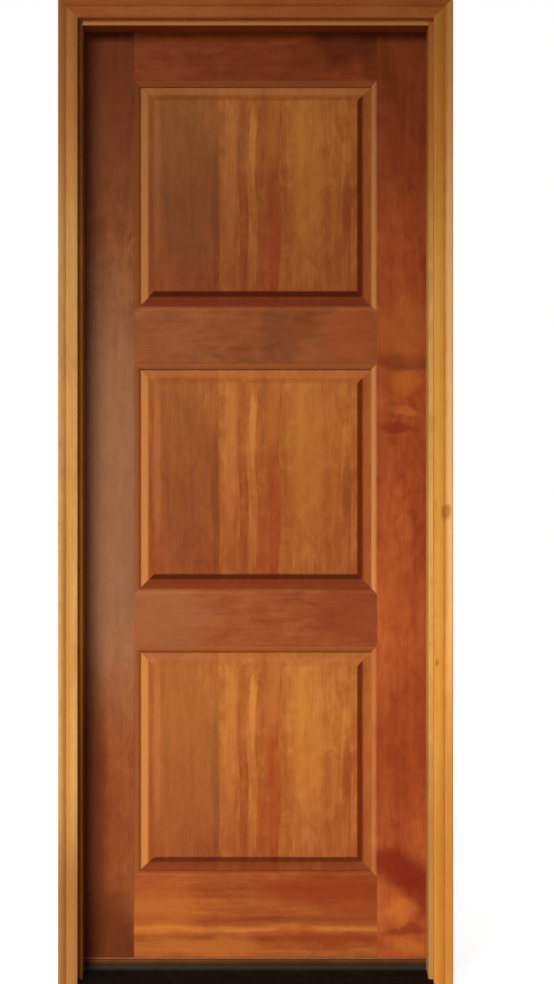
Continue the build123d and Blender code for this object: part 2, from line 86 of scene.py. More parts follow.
class Graph:
    """A node tree for a material or the world, with short ways to add and join nodes."""

    def __init__(self, tree):
        self.tree = tree
        self.tree.nodes.clear()

    def add(self, kind, **settings):
        """A new node with its settings."""
        node = self.tree.nodes.new(kind)
        for name, value in settings.items():
            setattr(node, name, value)
        return node

    def join(self, source, target):
        """Links an output to an input."""
        self.tree.links.new(source, target)

    def feed(self, socket, value):
        """Joins a socket to another one, or gives it a fixed value."""
        if isinstance(value, bpy.types.NodeSocket):
            self.join(value, socket)
        else:
            socket.default_value = value

    def coordinates(self):
        """Places in metres, in the object's own frame."""
        return self.add("ShaderNodeTexCoord").outputs["Object"]

    def split(self, vector):
        """The X, Y and Z of a place, by name."""
        node = self.add("ShaderNodeSeparateXYZ")
        self.join(vector, node.inputs["Vector"])
        return node.outputs

    def mapping(self, vector, location=(0, 0, 0), rotation=(0, 0, 0), scale=(1, 1, 1)):
        """Places scaled, then turned, then moved."""
        node = self.add("ShaderNodeMapping")
        self.join(vector, node.inputs["Vector"])
        node.inputs["Location"].default_value = location
        node.inputs["Rotation"].default_value = rotation
        node.inputs["Scale"].default_value = scale
        return node.outputs["Vector"]

    def moved(self, vector, centre):
        """Places counted from a centre."""
        return self.mapping(vector, location=tuple(-value for value in centre))

    def noise(self, vector, kind, offset=0.0, output="Fac"):
        """One kind of noise; another offset gives another stretch of it."""
        node = self.add("ShaderNodeTexNoise", noise_dimensions="4D")
        self.join(self.mapping(vector, scale=kind.stretch), node.inputs["Vector"])
        node.inputs["Scale"].default_value = kind.scale
        node.inputs["Detail"].default_value = kind.detail
        node.inputs["Roughness"].default_value = kind.roughness
        node.inputs["Distortion"].default_value = kind.distortion
        self.feed(node.inputs["W"], offset)
        return node.outputs[output]

    def radial(self, vector):
        """One at the origin, falling to none at a distance of one."""
        node = self.add("ShaderNodeTexGradient", gradient_type="SPHERICAL")
        self.join(vector, node.inputs["Vector"])
        return node.outputs["Fac"]

    def math(self, operation, first, second=0.0, third=0.0, clamp=False):
        """One sum on values or outputs, held between 0 and 1 where clamp is set."""
        node = self.add("ShaderNodeMath", operation=operation, use_clamp=clamp)
        for socket, value in zip(node.inputs, (first, second, third)):
            self.feed(socket, value)
        return node.outputs["Value"]

    def ramp(self, factor, stops, interpolation="LINEAR"):
        """Colours at places along a factor, as (place, colour)."""
        node = self.add("ShaderNodeValToRGB")
        node.color_ramp.interpolation = interpolation
        elements = node.color_ramp.elements
        while len(elements) < len(stops):
            elements.new(1.0)
        for element, (place, colour) in zip(elements, stops):
            element.position = place
            element.color = colour
        self.join(factor, node.inputs["Fac"])
        return node.outputs["Color"]

    def between(self, factor, first, last, start, end):
        """The first colour where the factor is under start, turning to the last one at end."""
        return self.ramp(factor, [(start, first), (end, last)])

    def mix(self, factor, first, second, blend="MIX"):
        """The first colour with the second one laid over it by a factor."""
        node = self.add("ShaderNodeMix", data_type="RGBA", blend_type=blend)
        self.feed(node.inputs["Factor"], factor)
        self.feed(node.inputs[MIX_FIRST], first)
        self.feed(node.inputs[MIX_SECOND], second)
        return node.outputs[MIX_RESULT]

    def spread(self, factor, low, high):
        """Maps 0 to 1 on to low to high."""
        node = self.add("ShaderNodeMapRange")
        self.join(factor, node.inputs["Value"])
        node.inputs["To Min"].default_value = low
        node.inputs["To Max"].default_value = high
        return node.outputs["Result"]

    def bump(self, height, strength, distance):
        """A fine relief, as a normal."""
        node = self.add("ShaderNodeBump")
        self.join(height, node.inputs["Height"])
        node.inputs["Strength"].default_value = strength
        node.inputs["Distance"].default_value = distance
        return node.outputs["Normal"]

    def surface(self, **inputs):
        """The principled shader with its inputs, joined to the material's output."""
        shader = self.add("ShaderNodeBsdfPrincipled")
        for name, value in inputs.items():
            self.feed(shader.inputs[name.replace("_", " ")], value)
        output = self.add("ShaderNodeOutputMaterial")
        self.join(shader.outputs["BSDF"], output.inputs["Surface"])


def new_material(name):
    """A material and the graph of its nodes, still empty."""
    material = bpy.data.materials.new(name)
    material.use_nodes = True
    return material, Graph(material.node_tree)


# Kinds of noise: the scale along X, Y and Z, where a small one draws it out, the overall scale, and its
# character
Noise = namedtuple("Noise", "stretch scale detail roughness distortion", defaults=(0.0,))
BAND = Noise((1, 1, 0.07), 55.0, 3.0, 0.55, 0.5)
FIBRE = Noise((1, 1, 0.025), 260.0, 4.0, 0.6, 0.2)
CLOUD = Noise((1, 1, 0.4), 7.0, 2.5, 0.5, 1.0)
MOTTLE = Noise((1, 1, 0.55), 26.0, 3.0, 0.6, 1.2)
PORE = Noise((1, 1, 0.025), 900.0, 1.0, 0.5)
WANDER = Noise((0.6, 0.6, 1), 4.0, 1.5, 0.5)
STRAY = Noise((1, 1, 1), 14.0, 3.0, 0.5)
DRAWN = Noise((0.02, 1, 1), 700.0, 3.0, 0.6)
WORN = Noise((1, 1, 1), 35.0, 4.0, 0.6)
DUST = Noise((1, 1, 1), 120.0, 4.0, 0.6)
FLECK = Noise((0.3, 1, 1), 380.0, 3.0, 0.7)

# Wood: how the grain turns from Z to where it lies, and where its three tones stand in the figure
GRAIN_UP = (0, 0, 0)
GRAIN_ACROSS = (0, radians(90), 0)
TONE_PLACES = (0.2, 0.5, 0.8)
MIDDLE_TONE = 0.5

# How far strips stray from their places, as a share of the board's width, and how far apart in the noise
# a pale stave's grain lies from a dark one's
WANDER_SHARE = 0.11
STAVE_OFFSET = 9.0

# The share of a blot, in from its edge, over which it gains its strength, and how far its outline strays
BLOT_EDGE_SHARE = 0.6
BROAD_DRIFT = (0.07, 0.07, 0.07)

# Dark pores in the wood, the relief of fibres and pores, and the varnish
PORE_START = 0.60
PORE_FULL = 0.72
PORE_STRENGTH = 0.3
FIBRE_RISE = 0.6
PORE_SINK = 0.5
VARNISH_SMOOTHEST = 0.30
VARNISH_ROUGHEST = 0.44
VARNISH_GLOSS = 0.04

# A colour in the sticking, painted light and shade, and on the stiles also a paler stain: it grows from
# the first to the second of two depths from the door's face, and it lies only over one height and below
# another
UNDER_ALL = -1.0
ABOVE_ALL = 10.0
Moulding = namedtuple("Moulding", "stain strength depths over below", defaults=(UNDER_ALL, ABOVE_ALL))

# Painted light and shade on one side of a raised panel, on its shallow slope and in its steep hip
Side = namedtuple("Side", "slope slope_strength hip hip_strength")

# A panel's flat field, its painted shade and light up the panel (share of the height, colour), and its
# four sides by name
Field = namedtuple("Field", "half_width half_height tints sides")

# A front edge with painted light in another colour, as far back as a depth Y
LitFront = namedtuple("LitFront", "depth stain strength")

# A raised panel's slope and hip, out from its field: their width together, how far the hip's painted
# shade fades into the field, where the two painted tones turn, as shares of the way out, and the tongue
# in the grooves
SLOPE_REACH = 0.0375
HIP_SOFTNESS = 0.003
SLOPE_START_SHARE = 0.38
SLOPE_FULL_SHARE = 0.54
HIP_SHARES = [(0.0, grey(0.0)), (0.12, grey(1.0)), (0.36, grey(1.0)), (0.52, grey(0.0))]
PANEL_TONGUE = 0.0105


def wood(name, tones, grain=GRAIN_UP, centre=(0, 0, 0), seed=0.0, bands=0.3, fibres=0.15, clouds=0.4,
         mottles=0.35, strips=None, staves=False, blots=(), drift=BROAD_DRIFT, field=None, mouldings=(),
         front=None):
    """Stained and varnished wood.

    tones run from the darkest to the palest stain; grain turns the wood's length from Z to where it lies;
    centre is where the board's own places are counted from; bands, fibres, clouds and mottles are the
    strengths of the figure's parts; strips are (place across, shift in tone), drawn as glued staves or as
    soft streaks, the sill cap's being painted shade; blots are patches of another colour, in the wood's
    figure and as painted light and shade, and drift is how far their outline strays; field is a raised
    panel's, with its painted light and shade; mouldings are painted light and shade, and paler stain, in
    the depth of the sticking; front is painted light on a front edge.
    """
    material, graph = new_material(name)
    coordinates = graph.coordinates()
    place = graph.moved(coordinates, centre)
    board = graph.mapping(place, rotation=grain)
    offset = seed
    shift = None
    if strips:
        shift, offset = strip_shift(graph, board, strips, staves, seed)
    band = graph.noise(board, BAND, offset)
    fibre = graph.noise(board, FIBRE, offset)
    cloud = graph.noise(board, CLOUD, offset)
    mottle = graph.noise(board, MOTTLE, offset)
    figure = graph.math("MULTIPLY_ADD", band, bands, MIDDLE_TONE - bands / 2)
    for part, strength in ((fibre, fibres), (cloud, clouds), (mottle, mottles)):
        figure = graph.math("ADD", figure, graph.math("MULTIPLY_ADD", part, strength, -strength / 2))
    if shift is not None:
        figure = graph.math("ADD", figure, shift)
    colour = graph.ramp(figure, list(zip(TONE_PLACES, tones)))
    if blots:
        colour = blotted(graph, place, colour, blots, drift, seed)
    # A raised panel's painted shade and light up its height, and painted light and shade on its four
    # sides
    if field:
        colour = height_shaded(graph, place, colour, field)
        colour = shaded_sides(graph, place, colour, field)
    # Painted light and shade, and paler stain, in the depth of the sticking
    for moulding in mouldings:
        colour = graph.mix(in_moulding(graph, coordinates, moulding), colour, moulding.stain)
    # Painted light on a front edge
    if front:
        before = graph.math("LESS_THAN", graph.split(coordinates)["Y"], front.depth)
        colour = graph.mix(graph.math("MULTIPLY", before, front.strength), colour, front.stain)
    pore = graph.noise(board, PORE, offset)
    pores = graph.between(pore, grey(0.0), grey(1.0), PORE_START, PORE_FULL)
    colour = graph.mix(graph.math("MULTIPLY", pores, PORE_STRENGTH), colour, tones[0])
    sunk = graph.math("MULTIPLY", pores, PORE_SINK)
    relief = graph.math("SUBTRACT", graph.math("MULTIPLY", fibre, FIBRE_RISE), sunk)
    graph.surface(
        Base_Color=colour,
        Roughness=graph.spread(fibre, VARNISH_SMOOTHEST, VARNISH_ROUGHEST),
        Specular_IOR_Level=VARNISH_GLOSS,
        Normal=graph.bump(relief, strength=0.12, distance=0.0004),
    )
    return material


def strip_shift(graph, board, strips, staves, seed):
    """The shift in tone across a board, and an offset that gives each stave its own grain."""
    first = strips[0][0]
    width = strips[-1][0] - first
    reach = WANDER_SHARE * width
    wander = graph.math("MULTIPLY_ADD", graph.noise(board, WANDER, seed), reach, -reach / 2)
    across = graph.math("ADD", graph.split(board)["X"], wander)
    share = graph.math("DIVIDE", graph.math("SUBTRACT", across, first), width)
    stops = [((edge - first) / width, grey(MIDDLE_TONE + shift)) for edge, shift in strips]
    tone = graph.ramp(share, stops, "CONSTANT" if staves else "LINEAR")
    offset = graph.math("MULTIPLY_ADD", tone, STAVE_OFFSET, seed) if staves else seed
    return graph.math("SUBTRACT", tone, MIDDLE_TONE), offset


def blotted(graph, place, colour, blots, drift, seed):
    """Soft patches of another colour, in the wood's figure and as painted light and shade, each with an
    outline that strays.
    """
    warp = graph.add("ShaderNodeVectorMath", operation="MULTIPLY_ADD")
    graph.join(graph.noise(place, STRAY, seed, "Color"), warp.inputs[0])
    warp.inputs[1].default_value = drift
    graph.join(place, warp.inputs[2])
    for x, z, half_width, half_height, turn, stain, strength in blots:
        around = graph.moved(warp.outputs["Vector"], (x + drift[0] / 2, 0.0, z + drift[2] / 2))
        turned = graph.mapping(around, rotation=(0, radians(turn), 0))
        patch = graph.radial(graph.mapping(turned, scale=(1 / half_width, 0, 1 / half_height)))
        soft = graph.ramp(patch, [(0.0, grey(0.0)), (BLOT_EDGE_SHARE, grey(strength))], "EASE")
        colour = graph.mix(soft, colour, stain)
    return colour


def height_shaded(graph, place, colour, field):
    """Painted shade and light that turns slowly from the darker foot of a panel's field to its paler top.
    """
    share = graph.math("MULTIPLY_ADD", graph.split(place)["Z"], 0.5 / field.half_height, 0.5)
    return graph.mix(1.0, colour, graph.ramp(share, field.tints), "MULTIPLY")


def shaded_sides(graph, place, colour, field):
    """Painted light and shade on a raised panel's four sides, which meet at the mitres: lit slopes on the
    left and top, shaded hips, and a shaded foot.
    """
    across = graph.split(place)
    beside = graph.math("SUBTRACT", graph.math("ABSOLUTE", across["X"]), field.half_width)
    above = graph.math("SUBTRACT", graph.math("ABSOLUTE", across["Z"]), field.half_height)
    outward = graph.math("ADD", graph.math("MAXIMUM", beside, above), HIP_SOFTNESS)
    outward = graph.math("DIVIDE", outward, SLOPE_REACH + HIP_SOFTNESS)
    slope = graph.between(outward, grey(0.0), grey(1.0), SLOPE_START_SHARE, SLOPE_FULL_SHARE)
    hip = graph.ramp(outward, HIP_SHARES)
    is_end = graph.math("GREATER_THAN", above, beside)
    is_side = graph.math("SUBTRACT", 1.0, is_end)
    is_right = graph.math("GREATER_THAN", across["X"], 0.0)
    is_top = graph.math("GREATER_THAN", across["Z"], 0.0)
    masks = {
        "left": graph.math("MULTIPLY", is_side, graph.math("SUBTRACT", 1.0, is_right)),
        "right": graph.math("MULTIPLY", is_side, is_right),
        "bottom": graph.math("MULTIPLY", is_end, graph.math("SUBTRACT", 1.0, is_top)),
        "top": graph.math("MULTIPLY", is_end, is_top),
    }
    for name, side in field.sides.items():
        on_slope = graph.math("MULTIPLY", slope, masks[name])
        colour = graph.mix(graph.math("MULTIPLY", on_slope, side.slope_strength), colour, side.slope)
        in_hip = graph.math("MULTIPLY", hip, masks[name])
        colour = graph.mix(graph.math("MULTIPLY", in_hip, side.hip_strength), colour, side.hip)
    return colour


def in_moulding(graph, coordinates, moulding):
    """None on the door's two faces, and the colour's full strength in the depth of the moulding."""
    place = graph.split(coordinates)
    off_middle = graph.math("ABSOLUTE", graph.math("SUBTRACT", place["Y"], DOOR_MIDDLE_Y))
    depth = graph.math("SUBTRACT", DOOR_HALF_THICKNESS, off_middle)
    start, full = moulding.depths
    run = graph.math("DIVIDE", graph.math("SUBTRACT", depth, start), full - start, clamp=True)
    share = graph.math("MULTIPLY", run, moulding.strength)
    over = graph.math("GREATER_THAN", place["Z"], moulding.over)
    below = graph.math("LESS_THAN", place["Z"], moulding.below)
    return graph.math("MULTIPLY", share, graph.math("MULTIPLY", over, below))


# A painted highlight along the upper edge of dark metal, from a height up, over a short way
EdgeHighlight = namedtuple("EdgeHighlight", "height softness stain")


def dark_metal(name, colour, smoothest, roughest, metallic, gloss, edge_highlight=None):
    """Dark bronze-coloured metal, painted or bare, with a fine drawn finish, small worn spots and, where
    given, a painted highlight along its upper edge.
    """
    material, graph = new_material(name)
    coordinates = graph.coordinates()
    drawn = graph.noise(coordinates, DRAWN)
    spots = graph.noise(coordinates, WORN)
    tone = graph.between(spots, colour, paler(colour, factor=2.2), start=0.45, end=0.75)
    # A painted highlight along the upper edge
    if edge_highlight:
        up = graph.math("SUBTRACT", graph.split(coordinates)["Z"], edge_highlight.height)
        tone = graph.mix(graph.math("DIVIDE", up, edge_highlight.softness, clamp=True), tone, edge_highlight.stain)
    graph.surface(
        Base_Color=tone,
        Metallic=metallic,
        Specular_IOR_Level=gloss,
        Roughness=graph.spread(drawn, smoothest, roughest),
        Normal=graph.bump(drawn, strength=0.1, distance=0.0002),
    )
    return material


def soft_rubber(name, colour):
    """Matte seal compound with a faint dusty mottling."""
    material, graph = new_material(name)
    dust = graph.noise(graph.coordinates(), DUST)
    graph.surface(
        Base_Color=graph.between(dust, colour, paler(colour, factor=1.7), start=0.35, end=0.75),
        Roughness=graph.spread(dust, low=0.6, high=0.8),
        Specular_IOR_Level=0.3,
        Normal=graph.bump(dust, strength=0.15, distance=0.0003),
    )
    return material


def flecked_composite(name, colour):
    """The sill core's wood-plastic compound, with pale flecks."""
    material, graph = new_material(name)
    fleck = graph.noise(graph.coordinates(), FLECK)
    graph.surface(
        Base_Color=graph.between(fleck, colour, paler(colour, factor=2.0), start=0.4, end=0.7),
        Roughness=graph.spread(fleck, low=0.55, high=0.75),
        Normal=graph.bump(fleck, strength=0.2, distance=0.0003),
    )
    return material


# Shading of the CAD meshes: points nearer than this are one, and an edge that turns by less is smooth
MERGE_DISTANCE = 0.00001
CORNER_ANGLE = radians(24)


def joined_shading():
    """A modifier group for CAD meshes: faces joined at their edges, and shaded smooth up to a corner."""
    group = bpy.data.node_groups.new("joined_shading", "GeometryNodeTree")
    group.is_modifier = True
    group.interface.new_socket("Geometry", in_out="INPUT", socket_type="NodeSocketGeometry")
    group.interface.new_socket("Geometry", in_out="OUTPUT", socket_type="NodeSocketGeometry")
    start = group.nodes.new("NodeGroupInput")
    merge = group.nodes.new("GeometryNodeMergeByDistance")
    merge.inputs["Distance"].default_value = MERGE_DISTANCE
    smooth = group.nodes.new("GeometryNodeSetShadeSmooth")
    angle = group.nodes.new("GeometryNodeInputMeshEdgeAngle")
    corner = group.nodes.new("FunctionNodeCompare")
    corner.operation = "LESS_THAN"
    corner.inputs["B"].default_value = CORNER_ANGLE
    edges = group.nodes.new("GeometryNodeSetShadeSmooth")
    edges.domain = "EDGE"
    end = group.nodes.new("NodeGroupOutput")
    group.links.new(start.outputs["Geometry"], merge.inputs["Geometry"])
    group.links.new(merge.outputs["Geometry"], smooth.inputs["Geometry"])
    group.links.new(smooth.outputs["Geometry"], edges.inputs["Geometry"])
    group.links.new(angle.outputs["Unsigned Angle"], corner.inputs["A"])
    group.links.new(corner.outputs["Result"], edges.inputs["Shade Smooth"])
    group.links.new(edges.outputs["Geometry"], end.inputs["Geometry"])
    return group


def dress(node, material, shading):
    """Gives a CAD node its material and joined shading."""
    piece = nodes[node]
    piece.data.materials.clear()
    piece.data.materials.append(material)
    modifier = piece.modifiers.new("joined_shading", "NODES")
    modifier.node_group = shading


# Tones of each board, from dark to pale; the head casing, the left jamb and the head jamb are darkened
# with painted shade
STILE_LEFT = [linear(102, 46, 18), linear(144, 78, 38), linear(174, 106, 56)]
STILE_RIGHT = [linear(124, 46, 20), linear(169, 80, 37), linear(194, 106, 50)]
RAIL = [linear(112, 54, 26), linear(155, 84, 43), linear(182, 108, 56)]
LOWER_RAIL = [linear(112, 50, 24), linear(150, 77, 38), linear(176, 98, 50)]
TOP_RAIL = [linear(116, 46, 20), linear(158, 73, 34), linear(184, 98, 48)]
BOTTOM_RAIL = [linear(118, 46, 18), linear(156, 78, 34), linear(194, 114, 52)]
PANEL = [linear(122, 52, 24), linear(170, 92, 42), linear(206, 132, 62)]
CASING_LEFT = [linear(176, 112, 54), linear(214, 157, 86), linear(230, 178, 108)]
CASING_RIGHT = [linear(190, 116, 42), linear(224, 151, 62), linear(236, 174, 92)]
SHADED_CASING_HEAD = [linear(156, 82, 36), linear(200, 113, 54), linear(218, 140, 76)]
SHADED_LEFT_JAMB = [linear(104, 54, 18), linear(146, 88, 32), linear(174, 112, 50)]
RIGHT_JAMB = [linear(176, 120, 56), linear(218, 168, 92), linear(232, 186, 110)]
SHADED_HEAD_JAMB = [linear(122, 50, 12), linear(158, 73, 20), linear(184, 94, 34)]
CAP = [linear(42, 24, 12), linear(70, 40, 18), linear(98, 58, 29)]

# Single stains, and painted light, shade, highlights and a reflection
DARK_RED = linear(122, 34, 16)
SHADE_BROWN = linear(106, 46, 20)
FIGURE_AND_SHADE_BROWN = linear(88, 36, 14)
BROWN = linear(142, 80, 44)
ORANGE = linear(204, 114, 44)
GOLD = linear(206, 130, 54)
RED = linear(160, 62, 26)
PLUM = linear(112, 60, 40)
PAINTED_REFLECTION = linear(160, 116, 84)
PAINTED_EDGE_LIGHT = linear(238, 160, 92)
PAINTED_BAND_HIGHLIGHT = linear(244, 184, 118)
TOP_SHADE_ORANGE = linear(192, 106, 44)
FOOT_SHADE_BROWN = linear(150, 92, 44)
# The stiles' sticking: a paler stain, that on the left also paints light into its shade and on the right
# carries a painted highlight
BROWN_STAIN_AND_LIGHT = linear(165, 93, 42)
GOLD_STAIN_AND_HIGHLIGHT = linear(208, 138, 80)
# Painted light and shade in the sticking: shade deep over the rails, a highlight on the arris under them,
# and light deep under them
PAINTED_DEPTH_SHADE = linear(104, 36, 10)
PAINTED_ARRIS_HIGHLIGHT = linear(180, 100, 52)
PAINTED_DEPTH_LIGHT = linear(216, 126, 68)
TREAD_BLACK = linear(14, 10, 6)
TREAD_EDGE_HIGHLIGHT = linear(52, 46, 41)
CORE_GREY = linear(62, 54, 46)
HINGE_BROWN = linear(66, 50, 38)
SEAL_BROWN = linear(46, 34, 26)
SWEEP_TAN = linear(140, 84, 46)

# Depths from the door's face between which painted light and shade, and paler stain, in the sticking grow
ARRIS_DEPTHS = (0.0002, 0.0009)
LEFT_OVOLO_DEPTHS = (0.0006, 0.002)
RIGHT_OVOLO_DEPTHS = (0.0006, 0.003)
PALE_DROP_DEPTHS = (0.003, 0.009)
DARK_DROP_DEPTHS = (0.003, 0.010)

# How deep the painted light on the head jamb's front edge is, and how far under the tread's top its
# painted highlight begins and over what height it fades in
FRONT_EDGE_DEPTH = 0.0006
EDGE_HIGHLIGHT_DROP = 0.009
EDGE_HIGHLIGHT_SOFTNESS = 0.003

# Painted light and shade on a panel's sides, where the panels are alike: light on the left slope, shade
# in the left hip, and deep shade in the right hip
LEFT_SIDE = Side(linear(200, 128, 64), 0.85, linear(124, 62, 26), 0.35)
RIGHT_SIDE = Side(linear(172, 90, 42), 0.4, linear(110, 34, 10), 0.9)
# Painted light on the top slope and a little shade in the top hip; painted shade on the foot's slope and
# deep shade in its hip
TOP_SLOPE_STRENGTH = 0.6
TOP_HIP = linear(150, 76, 34)
TOP_HIP_STRENGTH = 0.3
FOOT_SLOPE = linear(130, 54, 27)
FOOT_HIP = linear(88, 28, 10)

# The staves that a panel is glued up from, from its left edge: (place across, shift in tone)
STAVES = [
    (-0.320, -0.08),
    (-0.094, 0.06),
    (-0.041, -0.06),
    (-0.019, 0.06),
    (0.003, -0.04),
    (0.0665, 0.06),
    (0.174, 0.02),
    (0.320, 0.02),
]

# Painted shade and light up a panel, darker at its foot and paler at its top: (share of the height,
# factor)
PANEL_HEIGHT_SHADE = [
    (0.0, (0.84, 0.75, 0.77)),
    (0.25, (0.91, 0.86, 0.84)),
    (0.5, (0.97, 0.95, 0.90)),
    (0.75, (1.08, 1.14, 1.02)),
    (1.0, (1.16, 1.30, 1.20)),
]

# Blots are patches of other colour, where the figure of the wood turns, and where marked, painted light
# and shade: (x, z, half width, half height, turn in degrees, stain, strength)
PANEL_DRIFT = (0.016, 0.0, 0.10)
PANEL_BLOTS = [
    (-0.185, 0.00, 0.13, 0.40, 0, BROWN, 0.5),
    (0.046, 0.20, 0.026, 0.20, 0, linear(186, 104, 48), 0.6),
    (-0.050, -0.22, 0.05, 0.20, 0, linear(150, 72, 32), 0.35),
    (-0.260, 0.02, 0.016, 0.28, 0, linear(192, 114, 66), 0.45),
    (-0.104, -0.03, 0.016, 0.26, 0, linear(122, 62, 30), 0.5),
    (-0.066, 0.06, 0.022, 0.26, 0, linear(200, 120, 60), 0.5),
    (-0.008, 0.14, 0.013, 0.13, 0, linear(208, 130, 58), 0.6),
    (0.050, -0.06, 0.022, 0.22, 3, RED, 0.45),
    (0.034, -0.20, 0.036, 0.16, 8, RED, 0.4),
    (0.130, 0.04, 0.060, 0.26, 4, GOLD, 0.4),
    (0.240, -0.02, 0.016, 0.10, 0, linear(134, 62, 26), 0.5),
]

# What each panel has of its own: a blot, the upper slope's painted light, the strengths of the lower
# slope's and hip's painted shade, and how much paler its top is painted
Panel = namedtuple("Panel", "blot top_slope foot_slope_strength foot_hip_strength lift")
PANELS = {
    "top_panel": Panel(
        (-0.185, 0.06, 0.15, 0.36, 0, linear(132, 86, 46), 0.22), linear(208, 134, 76), 0.9, 0.95, 1.18,
    ),
    "middle_panel": Panel(
        (0.150, 0.05, 0.16, 0.30, 0, linear(160, 80, 34), 0.25), linear(184, 106, 56), 0.85, 0.9, 1.0,
    ),
    "bottom_panel": Panel(
        (-0.185, 0.0, 0.15, 0.36, 0, linear(186, 114, 52), 0.25), linear(166, 92, 44), 0.65, 0.75, 0.94,
    ),
}

# Soft streaks across the bottom rail, from its lower edge up: (place across, shift in tone)
LOW_STREAKS = [
    (-0.117, 0.02),
    (-0.095, 0.08),
    (-0.060, -0.12),
    (-0.039, 0.26),
    (-0.026, 0.0),
    (-0.013, -0.12),
    (0.004, 0.0),
    (0.040, 0.02),
    (0.066, -0.10),
    (0.080, -0.08),
    (0.117, 0.05),
]

# The sill cap's painted shade, darker towards its foot
CAP_PAINTED_SHADE = [
    (-0.008, -0.25),
    (0.0, -0.08),
    (0.008, 0.2),
]

# Blots of the stiles and rails, the bottom rail's counted from its middle
RIGHT_STILE_BLOTS = [
    (0.40, 0.62, 0.10, 0.30, 0, DARK_RED, 0.40),
    (0.43, 1.20, 0.035, 0.75, 0, DARK_RED, 0.2),
    (0.385, 1.610, 0.10, 0.035, 5, SHADE_BROWN, 0.55),
    (0.39, 1.555, 0.06, 0.040, 0, ORANGE, 0.40),
    (0.40, 1.475, 0.06, 0.016, -12, ORANGE, 0.5),
    (0.38, 1.440, 0.07, 0.018, -8, DARK_RED, 0.55),
    (0.375, 0.282, 0.12, 0.065, -25, DARK_RED, 0.85),
    (0.425, 0.210, 0.04, 0.080, 0, DARK_RED, 0.7),
    (0.385, 0.175, 0.055, 0.045, 0, ORANGE, 0.55),
    (0.39, 1.70, 0.11, 0.12, 0, linear(182, 102, 46), 0.45),
    (0.39, 0.118, 0.08, 0.020, 12, DARK_RED, 0.5),
    (0.40, 0.075, 0.07, 0.030, 0, ORANGE, 0.45),
    # Painted shade, darker towards the top of the stile
    (0.39, 2.32, 0.12, 0.42, 0, SHADE_BROWN, 0.33),
]
LEFT_STILE_DRIFT = (0.012, 0.0, 0.10)
LEFT_STILE_LIGHT_AND_SHADE = [
    # A painted reflection of light down the middle of the stile
    (-0.39, 1.25, 0.18, 0.78, 0, PAINTED_REFLECTION, 0.5),
    # Painted shade: darker low down, the jamb's painted shadow along the hinge edge, and darker at the
    # foot and at the top
    (-0.37, 0.45, 0.12, 0.45, 0, linear(130, 60, 28), 0.45),
    (-0.430, 0.40, 0.060, 0.60, 0, FIGURE_AND_SHADE_BROWN, 0.6),
    (-0.40, 0.04, 0.16, 0.24, 0, FIGURE_AND_SHADE_BROWN, 0.75),
    (-0.39, 2.40, 0.16, 0.50, 0, linear(136, 58, 20), 0.6),
]
UPPER_RAIL_BLOTS = [
    # A paler, greyer left end: painted reflection, like the left stile's
    (-0.30, 1.67, 0.30, 0.25, 0, linear(172, 112, 64), 0.15),
    (0.060, 1.68, 0.060, 0.13, 10, PLUM, 0.42),
    (0.130, 1.70, 0.06, 0.05, 30, SHADE_BROWN, 0.35),
    (0.250, 1.68, 0.10, 0.12, 0, STILE_RIGHT[1], 0.6),
]
LOWER_RAIL_BLOTS = [
    # A paler, greyer left end: painted reflection, like the left stile's
    (-0.30, 0.94, 0.26, 0.20, 0, linear(160, 98, 58), 0.6),
    (0.27, 0.96, 0.16, 0.13, 0, linear(140, 58, 28), 0.6),
]
TOP_RAIL_BLOTS = [
    # Painted light along the rail's top edge, against the shadow under the head jamb
    (0.0, 2.485, 0.80, 0.045, 0, linear(214, 108, 50), 0.6),
    (0.235, 2.46, 0.11, 0.085, 20, FIGURE_AND_SHADE_BROWN, 0.5),
    (0.31, 2.41, 0.05, 0.100, 0, FIGURE_AND_SHADE_BROWN, 0.45),
]
BOTTOM_RAIL_BLOTS = [
    (0.20, 0.066, 0.28, 0.055, 0, linear(140, 52, 22), 0.65),
    (0.28, 0.030, 0.12, 0.050, 0, linear(146, 56, 24), 0.5),
    (-0.25, 0.010, 0.15, 0.13, 0, ORANGE, 0.3),
    (-0.12, -0.085, 0.20, 0.040, 0, linear(190, 108, 44), 0.6),
    (0.10, -0.048, 0.12, 0.020, 0, RED, 0.5),
    (0.20, -0.063, 0.20, 0.020, 0, linear(142, 52, 22), 0.6),
]

# Blots of the casings and jambs, nearly all painted light and shade: darker at their tops and feet, and
# in long strips down bands of the casings' profile
CASING_DRIFT = (0.004, 0.0, 0.1)
LEFT_CASING_LIGHT_AND_SHADE = [
    # Painted light and shade in long strips down bands of the profile
    (-0.478, 1.10, 0.014, 1.40, 0, linear(194, 134, 66), 0.5),
    (-0.487, 0.78, 0.016, 0.80, 0, linear(184, 124, 56), 0.65),
    # Painted shade at the top and at the foot
    (-0.48, 2.55, 0.60, 0.68, 0, linear(200, 116, 50), 0.65),
    (-0.48, 0.00, 0.60, 0.55, 0, FOOT_SHADE_BROWN, 0.75),
]
RIGHT_CASING_BLOTS = [
    # Painted light down the bead, and a painted highlight down the outer band
    (0.474, 1.40, 0.014, 1.10, 0, linear(238, 170, 70), 0.6),
    (0.501, 1.75, 0.014, 1.60, 0, PAINTED_BAND_HIGHLIGHT, 0.9),
    # Painted shade at the top; then two small dark marks in the wood
    (0.48, 2.55, 0.60, 0.62, 0, linear(206, 116, 40), 0.4),
    (0.489, 1.215, 0.018, 0.036, 0, linear(166, 92, 34), 0.65),
    (0.466, 0.822, 0.007, 0.012, 0, linear(150, 84, 30), 0.6),
    # The outer band's painted highlight weaker towards the foot, and painted shade at the foot
    (0.501, 0.35, 0.014, 0.60, 0, linear(206, 138, 62), 0.6),
    (0.48, 0.00, 0.60, 0.90, 0, linear(172, 96, 30), 0.4),
]
